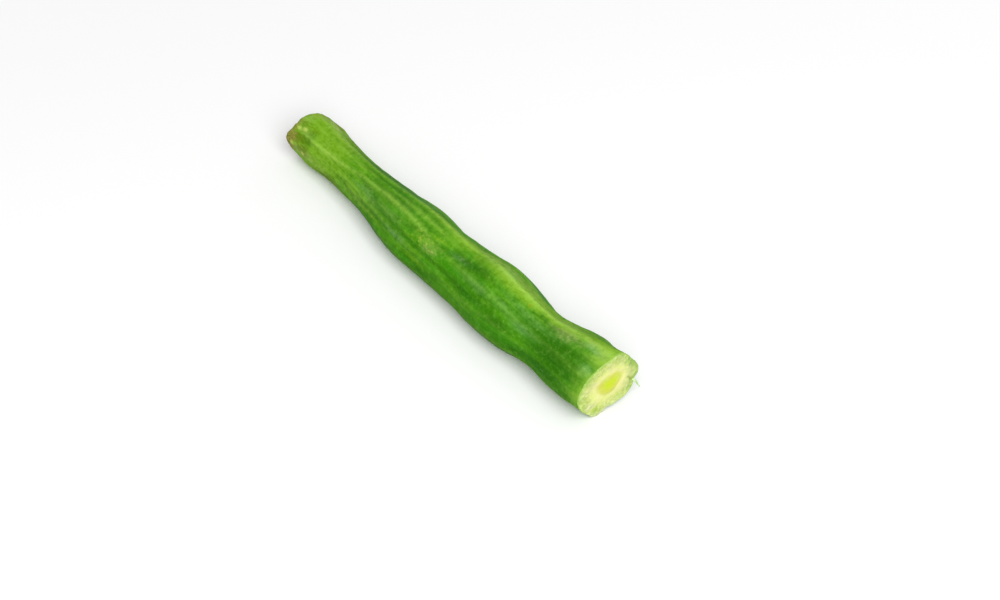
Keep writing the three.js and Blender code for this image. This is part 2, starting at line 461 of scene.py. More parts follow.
def cornered_radius(distance, angle):
    """The radius without ribs or relief, with the pod's three blunt corners."""
    return along(RADII, distance) * (1 + CORNER_SHARE * np.cos(np.radians(CORNERS * angle)))


def ended_radius(distance, angle):
    """The rind's radius before its relief, with the ends' own outlines."""
    radius = cornered_radius(distance, angle)
    ends = ((DRIED_OUTLINE, distance, DRIED_REACH), (CUT_OUTLINE, LENGTH - distance, CUT_REACH))
    for outline, from_end, reach in ends:
        radius = radius + (around(outline, angle) - radius) * smoothstep(1 - from_end / reach)
    return radius


def ragged_edge(angle):
    """How far the cut's torn edge stands out, in mm."""
    torn = smoothstep(0.5 + 0.6 * ripples("torn_places", 0, angle))
    return sum((least + more * torn) * ripples(kind, 0, angle) for kind, (least, more) in RAGGED_EDGE.items())


def rind_radius(distance, angle):
    """The rind's radius, with its ribs, grooves, warts, swellings, noise and ragged end."""
    near_cut = smoothstep(1 - (LENGTH - distance) / CUT_REACH)
    at_cut = smoothstep(1 - (LENGTH - distance) / RAGGED_REACH)
    ribs, _ = rib_fields(distance, angle)
    warts, _ = wart_fields(distance, angle)
    relief = ribs * (1 - RIBS_LOST_AT_CUT * near_cut) + warts
    relief -= GROOVE_DEPTH * groove_field(distance, angle)
    for *place, height in SWELLINGS:
        relief += height * patch(place, distance, angle)
    for kind in ("lumps", "dimples", "fibres", "pores"):
        relief += ripples(kind, distance, angle)
    return ended_radius(distance, angle) + relief + at_cut * ragged_edge(angle) - RELIEF_MIDDLE


# ---------- The two end faces ----------
def seed_reach(across, up):
    """0 in the middle of the cut seed, 1 at its edge."""
    side, height = across - SEED_MIDDLE[0], up - SEED_MIDDLE[1]
    turn = np.arctan2(height, side) - math.radians(SEED_CORNER)
    corners = 1 + SEED_CORNER_SHARE * np.cos(3 * turn)
    longer = 1 + SEED_LONGER_SHARE * np.cos(2 * turn)
    return np.hypot(side, height) / (SEED_RADIUS * corners * longer)


def tear_cover(across, up):
    """How strongly the tear covers each point of the cut face, from 0 to 1."""
    start, end = np.array(TEAR)
    place, run = np.stack([across, up], axis=-1) - start, end - start
    part = np.clip(place @ run / (run @ run), 0, 1)
    far = np.linalg.norm(place - part[..., None] * run, axis=-1)
    return bell(far / TEAR_HALF_WIDTH)


def cut_relief(across, up, share, angle):
    """How far the cut face stands out towards +X."""
    seed = seed_reach(across, up)
    wall = rise(share, *WALL)
    at_rim = rise(share, *CUT_RIM)
    dome_reach, dome_height = SEED_DOME
    gap_place, gap_half_width, gap_depth = SEED_GAP
    broken_from, broken_width, broken_depth = BROKEN_SIDE
    relief = dome_height * (1 - smoothstep(seed / dome_reach))
    relief -= gap_depth * bell((seed - gap_place) / gap_half_width)
    relief += face_ripples("uneven", across, up)
    relief += (TORN_HEIGHT[0] + TORN_HEIGHT[1] * wall) * face_ripples("torn", across, up)
    relief += wall * ripples("wall_shreds", share, angle)
    relief -= broken_depth * rise(across, broken_from, broken_width)
    relief -= TEAR_DEPTH * tear_cover(across, up)
    return relief * (1 - CALM_AT_RIM * at_rim) + at_rim * ragged_edge(angle + RAGGED_TURN)


def crease(share, angle):
    """Seeded radial folds of the dried end, of about unit size."""
    return ripples("folds", share, angle) * rise(share, *FOLDS)


def dried_relief(across, up, share, angle):
    """How far the dried end's face is sunken, towards +X."""
    bowl_share, bowl_depth = BOWL
    bowl = bowl_depth * (1 - smoothstep(share / bowl_share))
    cork = (1 - rise(share, *CORK)) * (face_ripples("lobes", across, up) + face_ripples("pits", across, up))
    return bowl + cork + FOLDS_HEIGHT * crease(share, angle)


# ---------- Rows of points ----------
def section(radius, angle):
    """How far across, towards +Y, and how far up a point at this radius and angle is."""
    return -radius * np.sin(np.radians(angle)), radius * np.cos(np.radians(angle))


def lay_down(distance, across, up, outward=0.0, narrow_slope=NARROW_SLOPE):
    """Points of the straight pod, bent and slanted, on the table and along +X from the origin."""
    for slope, from_end in ((narrow_slope, distance), (CUT_SLOPE, LENGTH - distance)):
        near_end = np.clip(1 - from_end / END_REACH, 0, 1) ** 2
        outward = outward + near_end * (slope[0] * across + slope[1] * up)
    inside = np.clip(distance, BEND_STEP, LENGTH - BEND_STEP)
    bend = np.arctan((along(BENDS, inside + BEND_STEP) - along(BENDS, inside - BEND_STEP)) / (2 * BEND_STEP))
    narrow_height, cut_height = END_HEIGHTS
    height = narrow_height + (cut_height - narrow_height) * distance / LENGTH
    x = distance + outward - across * np.sin(bend)
    y = along(BENDS, distance) + across * np.cos(bend)
    return np.stack([x, y, np.maximum(0, height + up)], axis=-1)


def rim(rounding, radius, turn):
    """How far from the end, and at what share of the radius, a rounded rim is. Its turn is 0 on the
    face and 1 on the rind.
    """
    turn = turn * math.pi / 2
    return rounding * (1 - np.cos(turn)), 1 - rounding / radius * (1 - np.sin(turn))


def to_cad_place():
    """The move that takes what lay_down gives onto the CAD part: the middle of the CAD part's form,
    laid down by the same formulas, goes to the middle of its box in the frame.
    """
    at_rim, rim_share = rim(CAD_RIM_ROUNDING, RADII[0], np.linspace(0, 1, CAD_RIM_STEPS))
    body = np.linspace(CAD_RIM_ROUNDING, LENGTH, CAD_BODY_STEPS)
    angle = np.arange(360.0)
    distance = np.concatenate([at_rim, body])[:, None] + 0 * angle
    share = np.concatenate([rim_share, np.ones_like(body)])[:, None]
    ribs = along(RADII, distance) * CAD_RIB_SHARE * np.cos(np.radians(CAD_RIBS * angle))
    across, up = section((cornered_radius(distance, angle) + ribs) * share, angle)
    form = lay_down(distance, across, up, narrow_slope=CAD_NARROW_SLOPE).reshape(-1, 3)
    low, high = (np.array(corner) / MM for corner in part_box("pod_segment"))
    move = (low + high) / 2 - (form.min(axis=0) + form.max(axis=0)) / 2
    return move * (1, 1, 0)


def rows():
    """(distance, share of the radius, end) of each row. end is -1 on the dried face, 0 on the rind
    and 1 on the cut's rim and face.
    """
    made = [(0.0, DRIED_FACE * i / DRIED_ROWS, -1) for i in range(1, DRIED_ROWS + 1)]
    made += [(*rim(RIM_ROUNDING, RADII[0], i / RIM_ROWS), 0) for i in range(1, RIM_ROWS + 1)]
    made += [(d, 1.0, 0) for d in np.linspace(RIM_ROUNDING, LENGTH - CUT_ROUNDING, RIND_ROWS)[1:]]
    for i in range(1, CUT_RIM_ROWS + 1):
        from_end, share = rim(CUT_ROUNDING, RADII[-1], 1 - i / CUT_RIM_ROWS)
        made.append((LENGTH - from_end, share, 1))
    made += [(LENGTH, share * (1 - i / CUT_ROWS), 1) for i in range(1, CUT_ROWS)]
    return made


def pod_grid():
    """Every vertex's distance, share of the radius, end and angle, with one vertex in each middle."""
    row = np.repeat(np.array(rows())[:, None, :], AROUND, axis=1)
    angle = np.broadcast_to(np.arange(AROUND) * 360 / AROUND, row.shape[:2])
    distance = np.concatenate([[0.0], row[..., 0].ravel(), [LENGTH]])
    share = np.concatenate([[0.0], row[..., 1].ravel(), [0.0]])
    end = np.concatenate([[-1.0], row[..., 2].ravel(), [1.0]])
    return distance, share, end, np.concatenate([[0.0], angle.ravel(), [0.0]])


def pod_points():
    """Every vertex's place, and the fields and vectors that the materials read there."""
    distance, share, end, angle = pod_grid()
    on_cut = end > 0
    on_dried = end < 0
    across, up = section(rind_radius(distance, angle) * share, angle)
    outward = np.where(on_cut, cut_relief(across, up, share, angle), 0)
    outward = np.where(on_dried, dried_relief(across, up, share / DRIED_FACE, angle), outward)
    place = lay_down(distance, across, up, outward) + to_cad_place()

    fields = skin_fields(distance, angle)
    fields["share"] = share
    fields["seed"] = np.where(on_cut, seed_reach(across, up), FAR_FROM_SEED)
    fields["crease"] = np.where(on_dried, crease(share / DRIED_FACE, angle), 0)
    fields.update(face_marks(across, up, share, angle))
    # The skin's pattern is laid out on a straight tube. Over each rim it runs on, out past the end.
    inwards = (1 - share) * ended_radius(distance, angle)
    over_rim = distance + np.where(distance < LENGTH / 2, -inwards, inwards)
    tube_across, tube_up = section(SKIN_RADIUS, angle)
    vectors = {
        "skin": np.stack([over_rim, -tube_across, tube_up], axis=-1),
        "face": np.stack([across, up, np.zeros_like(up)], axis=-1),
    }
    return place, fields, vectors


def face_spot(spot, across, up):
    """How strongly a spot on the cut face covers each point."""
    at, at_up, half_width, half_height, strength = spot
    return strength * bell((across - at) / half_width) * bell((up - at_up) / half_height)


def face_marks(across, up, share, angle):
    """The marks on the cut face at each point, each from 0 to 1."""
    # greener sides of the cut face, the one towards +Y being painted shade
    greener_and_shaded = np.zeros_like(across)
    for (to_side, to_top), start, width, strength in GREENER_AND_SHADED_SIDES:
        greener_and_shaded = np.maximum(greener_and_shaded, strength * rise(to_side * across + to_top * up, start, width))
    rim_angle, rim_half_width = BLEACHED_RIM
    bleached = rise(share, *BLEACHED_RIM_SHARE) * bell(turn_between(angle, rim_angle) / rim_half_width)
    return {
        "greener_and_shaded": greener_and_shaded,
        "lime": face_spot(LIME_SPOT, across, up),
        "tear": tear_cover(across, up),
        "bleached": np.maximum(bleached, face_spot(BLEACHED_SPOT, across, up)),
    }


def skin_fields(distance, angle):
    """The marks on the rind at each point, mostly from 0 to 1."""
    _, pale_crest_and_highlight = rib_fields(distance, angle)
    _, wart = wart_fields(distance, angle)
    on_top = (1 + FRINGE_LEAST) / 2 + (1 - FRINGE_LEAST) / 2 * np.cos(np.radians(angle))
    fringe = rise(distance, LENGTH - FRINGE, FRINGE) * on_top
    fields = {name: patches(places, distance, angle) for name, places in SKIN_PATCHES.items()}
    fields["fringe"] = fringe * (1 - patches(FRINGE_GAPS, distance, angle))
    fields["groove"] = groove_field(distance, angle)
    fields["pale_crest_and_highlight"] = pale_crest_and_highlight
    fields["wart"] = wart
    return fields


# ---------- Mesh ----------
def ring_quads(ring_count, around_count, first=0):
    """Faces between rings of vertices that start at first and follow each other."""
    here = np.arange(around_count)
    following = (here + 1) % around_count
    starts = first + np.arange(ring_count - 1)[:, None] * around_count
    a, b = starts + here, starts + following
    return np.stack([a, b, b + around_count, a + around_count], axis=-1).reshape(-1, 4)


def pod_faces(row_count):
    """The pod's faces: the middle of the dried face, the rows, and the middle of the cut face."""
    here = np.arange(AROUND)
    following = (here + 1) % AROUND
    last = 1 + row_count * AROUND
    edge = last - AROUND
    narrow_cap = np.stack([np.zeros(AROUND, int), 1 + following, 1 + here], axis=-1)
    cut_cap = np.stack([np.full(AROUND, last), edge + here, edge + following], axis=-1)
    return narrow_cap, ring_quads(row_count, AROUND, first=1), cut_cap


def strip_and_discs(vectors, faces, end_of_face):
    """UV of each corner: the rind as a strip, and the two end faces as discs above it."""
    corners = np.concatenate([part.ravel() for part in faces])
    end = np.repeat(end_of_face, [part.shape[1] for part in faces for _ in part])[:, None]
    skin, face = vectors["skin"][corners], vectors["face"][corners]
    here = np.arange(AROUND)
    turn = np.stack([here, here + 1, here + 1, here], axis=-1).ravel() / AROUND
    turn = np.pad(np.tile(turn, len(faces[1]) // AROUND), 3 * AROUND)
    strip = UV_STRIP_CORNER + np.stack([skin[:, 0] / LENGTH, turn], axis=-1) * UV_STRIP_SIZE
    cut_disc, dried_disc = (np.array(middle) + face[:, :2] * UV_DISC_SCALE for middle in UV_DISC_MIDDLES)
    return np.where(end > 0, cut_disc, np.where(end < 0, dried_disc, strip))


def add_fields(mesh, fields, vectors):
    """Stores what the materials read with the vertices."""
    for name, values in fields.items():
        mesh.attributes.new(name, "FLOAT", "POINT").data.foreach_set("value", values.astype(np.float32))
    for name, values in vectors.items():
        layer = mesh.attributes.new(name, "FLOAT_VECTOR", "POINT")
        layer.data.foreach_set("vector", values.astype(np.float32).ravel())


def add_object(name, data):
    """A new object in the scene."""
    item = bpy.data.objects.new(name, data)
    bpy.context.scene.collection.objects.link(item)
    return item


def make_pod(materials):
    """The pod as one closed mesh. The materials are those of the rind, the cut and the dried end."""
    place, fields, vectors = pod_points()
    row_end = np.array(rows())[:, 2]
    faces = pod_faces(len(row_end))
    mesh = bpy.data.meshes.new("pod")
    mesh.from_pydata((place * MM).tolist(), [], [face for part in faces for face in part.tolist()])
    # A face between two rows belongs to the dried end only if both rows do.
    between = np.where((row_end[:-1] < 0) & (row_end[1:] < 0), -1, np.where(row_end[1:] > 0, 1, 0))
    end_of_face = np.concatenate([np.full(AROUND, -1), np.repeat(between, AROUND), np.full(AROUND, 1)])
    uv = strip_and_discs(vectors, faces, end_of_face)
    mesh.uv_layers.new(name="OFBake").data.foreach_set("uv", uv.astype(np.float32).ravel())
    slots = end_of_face % 3  # 0 for the rind, 1 for the cut, and 2 for the dried end, whose end is -1
    for material in materials:
        mesh.materials.append(material)
    mesh.polygons.foreach_set("material_index", slots)
    mesh.polygons.foreach_set("use_smooth", [True] * len(slots))
    add_fields(mesh, fields, vectors)
    mesh.validate()
    mesh.update()
    pod = add_object("pod", mesh)
    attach(pod, "root")
    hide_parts("pod_segment")


def torn_fibre_points():
    """The shred's rings of points, from its root to its tip, on the straight pod."""
    path = np.array(TORN_FIBRE)
    last = len(path) - 1
    places = np.linspace(0, last, TORN_FIBRE_RINGS)
    middle = np.stack([spline(path[:, k], places) for k in range(3)], axis=-1)
    heading = np.gradient(middle, axis=0)
    heading /= np.linalg.norm(heading, axis=1)[:, None]
    side = np.cross(heading, (1, 0, 0))
    side /= np.linalg.norm(side, axis=1)[:, None]
    flat = np.cross(side, heading)
    turn = np.linspace(0, 2 * math.pi, TORN_FIBRE_SIDES, endpoint=False)[None, :, None]
    half_width, half_thickness = TORN_FIBRE_SIZE
    ring = np.cos(turn) * side[:, None] * half_width + np.sin(turn) * flat[:, None] * half_thickness
    taper = np.sqrt(1 - (places / (last + TORN_FIBRE_POINT)) ** 2)
    return (middle[:, None] + ring * taper[:, None, None]).reshape(-1, 3)


def make_torn_fibre(material):
    """A shred of the rind that the knife left hanging from the cut's rim."""
    place = lay_down(*torn_fibre_points().T) + to_cad_place()
    here = np.arange(TORN_FIBRE_SIDES)
    tip = here + (TORN_FIBRE_RINGS - 1) * TORN_FIBRE_SIDES
    sides = ring_quads(TORN_FIBRE_RINGS, TORN_FIBRE_SIDES).tolist()
    faces = [here[::-1].tolist(), *sides, tip.tolist()]
    mesh = bpy.data.meshes.new("torn_fibre")
    mesh.from_pydata((place * MM).tolist(), [], faces)
    mesh.materials.append(material)
    mesh.polygons.foreach_set("use_smooth", [True] * len(faces))
    mesh.update()
    fibre = add_object("torn_fibre", mesh)
    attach(fibre, "root")


# ---------- Materials ----------
def srgb(red, green, blue):
    """A colour given as 0 to 255 on screen, as the linear colour that a shader reads."""
    def linear(value):
        value = value / 255
        return value / 12.92 if value <= 0.04045 else ((value + 0.055) / 1.055) ** 2.4
    return (linear(red), linear(green), linear(blue), 1.0)


def grey(level):
    """A grey given as a shader reads it."""
    return (level, level, level, 1.0)


class Nodes:
    """The nodes of one tree. A value may be a number, a colour or another node's output."""

    def __init__(self, tree):
        self.tree = tree

    def node(self, kind, inputs, **settings):
        made = self.tree.nodes.new(kind)
        for name, value in settings.items():
            setattr(made, name, value)
        for key, value in inputs.items():
            self.feed(made.inputs[key], value)
        return made

    def feed(self, socket, value):
        """Gives a socket its value, or links it to the output that it comes from."""
        if isinstance(value, bpy.types.NodeSocket):
            self.tree.links.new(value, socket)
        else:
            socket.default_value = value

    def field(self, name, output="Fac"):
        """A number stored with the vertices, or a vector if the output is "Vector"."""
        return self.node("ShaderNodeAttribute", {}, attribute_name=name).outputs[output]

    def scaled(self, vector, x, y, z):
        made = self.node("ShaderNodeMapping", {"Vector": vector, "Scale": (x, y, z)})
        return made.outputs["Vector"]

    def noise(self, vector, scale=1.0, detail=3, roughness=0.55):
        """Noise from 0 to 1, mostly near 0.5."""
        inputs = {"Vector": vector, "Scale": scale, "Detail": detail, "Roughness": roughness}
        return self.node("ShaderNodeTexNoise", inputs).outputs["Fac"]

    def warped(self, vector, noise_place, reach):
        """vector moved about by soft noise, by up to half of reach each way."""
        noise = self.node("ShaderNodeTexNoise", {"Vector": noise_place, "Scale": 1.0, "Detail": 1.0})
        centred = self.vector_math("SUBTRACT", noise.outputs["Color"], (0.5, 0.5, 0.5))
        return self.vector_math("ADD", vector, self.vector_math("MULTIPLY", centred, (reach,) * 3))

    def vector_math(self, operation, a, b):
        return self.node("ShaderNodeVectorMath", {0: a, 1: b}, operation=operation).outputs[0]

    def dots(self, vector):
        """The distance to the nearest of many scattered points."""
        return self.node("ShaderNodeTexVoronoi", {"Vector": vector, "Scale": 1.0}).outputs["Distance"]

    def step(self, value, low, high, out_low=0.0, out_high=1.0):
        """value taken smoothly from low..high to out_low..out_high."""
        inputs = {"Value": value, "From Min": low, "From Max": high}
        inputs.update({"To Min": out_low, "To Max": out_high})
        return self.node("ShaderNodeMapRange", inputs, interpolation_type="SMOOTHSTEP").outputs["Result"]

    def math(self, operation, a, b):
        return self.node("ShaderNodeMath", {0: a, 1: b}, operation=operation).outputs[0]

    def times(self, *values):
        return reduce(lambda total, value: self.math("MULTIPLY", total, value), values)

    def plus(self, *values):
        return reduce(lambda total, value: self.math("ADD", total, value), values)

    def centred(self, noise, size):
        """Noise moved to lie around 0, and made that many times as large."""
        return self.times(self.math("SUBTRACT", noise, 0.5), size)

    def mix(self, share, a, b):
        """Two colours mixed, with the share of b. Three numbers are a colour on screen, up to 255."""
        made = self.node("ShaderNodeMix", {0: share}, data_type="RGBA")
        for key, colour in ((6, a), (7, b)):
            on_screen = isinstance(colour, tuple) and len(colour) == 3
            self.feed(made.inputs[key], srgb(*colour) if on_screen else colour)
        return made.outputs[2]

    def layers(self, colour, *layers):
        """colour under layers of (cover, share, tint), each as strong as its cover times its share."""
        for cover, share, tint in layers:
            colour = self.mix(self.times(cover, share), colour, tint)
        return colour

    def bump(self, height, distance):
        """height is 0 to 1, and distance is what 1 stands for, in metres."""
        made = self.node("ShaderNodeBump", {"Height": height, "Distance": distance, "Strength": 1.0})
        return made.outputs["Normal"]

    def background_ray(self):
        """1 where the background is seen, directly or in a reflection, and 0 where it gives light."""
        path = self.node("ShaderNodeLightPath", {}).outputs
        mirrored = self.math("MAXIMUM", path["Is Glossy Ray"], path["Is Transmission Ray"])
        return self.math("MAXIMUM", path["Is Camera Ray"], mirrored)


class Shader(Nodes):
    """One material, with the surface that Blender gives it."""

    def __init__(self, name):
        self.material = bpy.data.materials.new(name)
        self.material.use_nodes = True
        super().__init__(self.material.node_tree)

    def finish(self, colour, roughness, specular, **inputs):
        """The material, once its surface has these inputs. Each name has _ for a space."""
        surface = next(n for n in self.tree.nodes if n.type == "BSDF_PRINCIPLED").inputs
        inputs.update(Base_Color=colour, Roughness=roughness, Specular_IOR_Level=specular)
        for name, value in inputs.items():
            self.feed(surface[name.replace("_", " ")], value)
        return self.material


# The rind's patterns: (scale along the pod and the two ways across it), detail and roughness.
SKIN_PATTERNS = {
    "lines": ((0.05, 0.65, 0.65), 2, 0.5),
    "strings": ((0.16, 2.2, 2.2), 2, 0.5),
    "clouds": ((0.13, 0.2, 0.2), 3, 0.55),
    "vivid": ((0.1, 0.2, 0.3), 2, 0.55),
    "fibres": ((0.6, 1.3, 1.3), 3, 0.6),
    "mottle": ((0.85, 0.8, 0.8), 4, 0.6),
    "grain": ((2.2, 2.8, 2.8), 2, 0.6),
    "blotches": ((1.0, 1.5, 1.5), 3, 0.6),
}
SKIN_DOTS = (0.8, 1.3, 1.3)
SKIN_WARP = (0.06, 0.2, 0.2)
# What the bump's height of 1 stands for, in metres.
RIND_BUMP = 0.0001
CUT_BUMP = 0.00015
DRIED_BUMP = 0.0003
FIBRE_BUMP = 0.0001


def skin_patterns(s):
    """The noise that the rind's colours are made with, each from 0 to 1, and its scattered dots."""
    straight = s.field("skin", "Vector")
    skin = s.warped(straight, s.scaled(straight, *SKIN_WARP), 1.0)
    made = {
        name: s.noise(s.scaled(skin, *scale), detail=detail, roughness=roughness)
        for name, (scale, detail, roughness) in SKIN_PATTERNS.items()
    }
    return SimpleNamespace(dots=s.dots(s.scaled(skin, *SKIN_DOTS)), **made)


def broken_up(s, name, pattern, low, high, least):
    """A field of the skin, weakened to the least where the pattern is low."""
    return s.times(s.field(name), s.step(pattern, low, high, least, 1.0))


def green_skin(s, p):
    """The skin's plain greens: light and dark streaks, vivid places, young and dark green, with painted shade
    along the underside and along the far upper flank.
    """
    tone = s.plus(s.times(p.lines, 0.36), s.times(p.clouds, 0.44), s.times(p.mottle, 0.2))
    plain = s.mix(s.step(tone, 0.35, 0.65), (46, 113, 0), (84, 156, 14))
    plain = s.layers(plain, (s.step(p.vivid, 0.48, 0.66), 0.6, (54, 142, 2)))
    young = s.step(s.plus(s.field("young"), s.centred(tone, 1.2)), 0.1, 0.95)
    young_green = s.mix(s.step(p.mottle, 0.4, 0.6), (110, 162, 20), (120, 170, 34))
    # darker green, partly painted shade along the underside and the far upper flank
    deep_green_and_shade = s.step(s.plus(s.field("deep_green_and_shade"), s.centred(p.clouds, 0.8)), 0.15, 1.0)
    return s.layers(s.mix(young, plain, young_green), (deep_green_and_shade, 0.88, (34, 98, 0)))


def rind_material():
    """Green waxy skin with pale ribs, lengthwise fibres, pale waxy patches, scuffs and specks. Painted light:
    highlights on the rib tops and in the pale patches, and shade in the grooves, along the underside and
    along the far upper flank.
    """
    s = Shader("rind")
    p = skin_patterns(s)
    streaks = s.plus(p.mottle, s.times(p.fibres, 0.4))
    # painted shade in the grooves
    groove = broken_up(s, "groove", p.mottle, 0.3, 0.6, 0.6)
    # pale rib tops, partly painted highlight
    pale_crest_and_highlight = broken_up(s, "pale_crest_and_highlight", s.plus(p.mottle, s.times(p.fibres, 0.5)), 0.5, 0.95, 0.65)
    faded = broken_up(s, "faded", streaks, 0.45, 0.85, 0.5)
    # pale waxy bloom, partly painted sheen
    bloom_and_sheen = broken_up(s, "bloom_and_sheen", streaks, 0.45, 0.85, 0.3)
    fringe = broken_up(s, "fringe", s.plus(p.mottle, s.times(p.lines, 0.5)), 0.55, 0.95, 0.5)
    speckle = s.times(s.field("speckle"), s.step(p.dots, 0.55, 0.2), s.step(p.mottle, 0.4, 0.55))
    flecks = s.times(s.step(p.dots, 0.26, 0.12), s.step(p.mottle, 0.55, 0.7), 0.4)
    speckle = s.math("MAXIMUM", speckle, flecks)
    scuff = s.times(s.field("scuff"), s.step(s.plus(p.mottle, s.times(p.grain, 0.7)), 0.65, 1.0))
    scuffed = s.mix(s.step(p.blotches, 0.4, 0.6), (108, 118, 56), (168, 178, 116))
    # olive patches, one of them painted shade along the far upper edge
    olive_and_shade = s.step(s.plus(s.field("olive_and_shade"), s.centred(p.blotches, 2.0)), 0.3, 1.0)
    browned = s.step(s.plus(s.field("browned"), s.centred(p.blotches, 1.2)), 0.2, 1.0)
    paler_brown = s.step(s.plus(p.blotches, s.times(p.grain, 0.4)), 0.55, 0.85)
    brown = s.mix(paler_brown, (104, 102, 32), (160, 146, 78))
    colour = s.layers(
        green_skin(s, p),
        (groove, 0.8, (30, 94, 0)),
        (pale_crest_and_highlight, 1.0, (160, 204, 78)),
        (faded, 0.7, (174, 194, 110)),
        (bloom_and_sheen, 0.62, (130, 178, 116)),
        (s.step(p.strings, 0.52, 0.7), 0.07, (130, 190, 74)),
        (s.step(p.strings, 0.48, 0.3), 0.07, (20, 70, 0)),
        (s.step(p.fibres, 0.5, 0.75), 0.09, (126, 186, 70)),
        (s.step(p.fibres, 0.5, 0.27), 0.08, (20, 70, 0)),
        (s.step(p.mottle, 0.5, 0.7), 0.17, (124, 186, 70)),
        (s.step(p.mottle, 0.48, 0.3), 0.14, (24, 80, 0)),
        (s.step(p.grain, 0.52, 0.72), 0.11, (132, 190, 86)),
        (s.step(p.grain, 0.48, 0.3), 0.1, (22, 66, 0)),
        (fringe, 0.8, (146, 192, 60)),
        (speckle, 0.6, (190, 202, 84)),
        (scuff, 0.7, scuffed),
        (s.step(s.field("spot"), 0.2, 0.9), 0.6, (140, 146, 14)),
        (olive_and_shade, 0.75, (92, 116, 14)),
        (browned, 0.85, brown),
        (s.field("wart"), 0.9, (184, 204, 96)),
    )
    relief = s.plus(s.times(s.plus(p.fibres, p.strings), 0.7), s.times(s.plus(p.mottle, p.grain), 0.4))
    relief = s.plus(relief, s.times(speckle, 0.3))
    rough = s.plus(0.48, s.times(p.fibres, 0.14), s.times(bloom_and_sheen, 0.15))
    rough = s.plus(rough, s.times(scuff, 0.25), s.times(browned, 0.2))
    return s.finish(colour, rough, 0.03, Normal=s.bump(relief, RIND_BUMP))


def face_patterns(s, soft_scale, mottle_scale, grain_scale, detail, roughness):
    """Soft, middling and fine noise on an end's face, and how unsure the edges on it are."""
    face = s.field("face", "Vector")
    p = SimpleNamespace(face=face, share=s.field("share"))
    p.soft = s.noise(face, soft_scale)
    p.mottle = s.noise(face, mottle_scale, detail, roughness)
    p.grain = s.noise(face, grain_scale, roughness=roughness)
    p.unsure = s.plus(s.centred(p.soft, 1.0), s.centred(p.mottle, 0.5))
    return p


def cut_material():
    """Pale wet pith around the cut seed, in a fibrous wall, with a thin line of rind around it, and painted
    shade on its side towards +Y.
    """
    s = Shader("cut_flesh")
    p = face_patterns(s, 0.3, 0.9, 2.2, detail=4, roughness=0.6)
    drift = s.noise(s.scaled(p.face, 0.22, 0.3, 1.0), detail=4)
    shreds = s.noise(s.scaled(s.field("skin", "Vector"), 0.6, 0.9, 0.9), roughness=0.6)
    place = s.plus(p.share, s.times(p.unsure, 0.45))
    in_wall = s.step(place, 0.5, 0.76)
    pith = s.mix(s.step(p.soft, 0.4, 0.6), (214, 226, 122), (228, 226, 150))
    wall = s.layers(
        s.mix(s.step(drift, 0.36, 0.62), (178, 198, 96), (212, 220, 134)),
        (s.step(shreds, 0.5, 0.7), 0.4, (226, 228, 168)),
        (s.step(shreds, 0.46, 0.3), 0.35, (152, 178, 82)),
        (s.step(p.mottle, 0.5, 0.66), 0.45, (232, 232, 184)),
        (s.step(p.mottle, 0.48, 0.34), 0.4, (150, 168, 88)),
    )
    outermost = s.times(s.step(place, 0.8, 0.97), s.step(shreds, 0.3, 0.6, 0.5, 1.0))
    outer = s.mix(s.step(drift, 0.42, 0.58), (158, 194, 82), (202, 220, 128))
    # greener sides of the cut face, painted shade towards +Y
    greener_and_shaded = s.times(s.field("greener_and_shaded"), s.step(drift, 0.35, 0.65, 1.0, 0.5))
    rind = s.times(s.step(p.share, 0.965, 0.985), s.step(drift, 0.42, 0.58, 0.1, 0.7))
    reach = s.plus(s.field("seed"), s.times(p.unsure, 0.35))
    halo = s.times(s.step(reach, 1.85, 1.2), s.step(p.mottle, 0.35, 0.6, 0.25, 0.7))
    coat = s.mix(s.step(drift, 0.42, 0.56), (202, 214, 98), (206, 206, 88))
    bleached = s.times(s.field("bleached"), s.step(p.grain, 0.35, 0.6, 0.4, 1.0))
    colour = s.layers(
        s.mix(in_wall, pith, wall),
        (outermost, 1.0, outer),
        (greener_and_shaded, 0.68, (136, 174, 74)),
        (s.times(s.step(p.grain, 0.5, 0.3), in_wall), 0.3, (128, 148, 66)),
        (s.step(p.grain, 0.5, 0.7), 0.18, (240, 244, 196)),
        (rind, 1.0, (112, 168, 44)),
        (halo, 1.0, (230, 230, 152)),
        (s.step(reach, 1.22, 0.82), 1.0, coat),
        (s.step(reach, 0.95, 0.2), 1.0, (196, 216, 36)),
        (s.field("lime"), 0.9, (160, 194, 36)),
        (s.field("tear"), 0.7, (130, 154, 40)),
        (bleached, 0.8, (216, 216, 184)),
    )
    relief = s.plus(s.times(p.grain, 0.4), s.times(p.mottle, 0.6), s.times(shreds, in_wall, 0.6))
    rough = s.plus(0.4, s.times(p.grain, 0.2))
    wet = {"Subsurface_Weight": 0.15, "Subsurface_Scale": 0.002, "Subsurface_Radius": (0.9, 1.0, 0.4)}
    return s.finish(colour, rough, 0.15, Normal=s.bump(relief, CUT_BUMP), **wet)


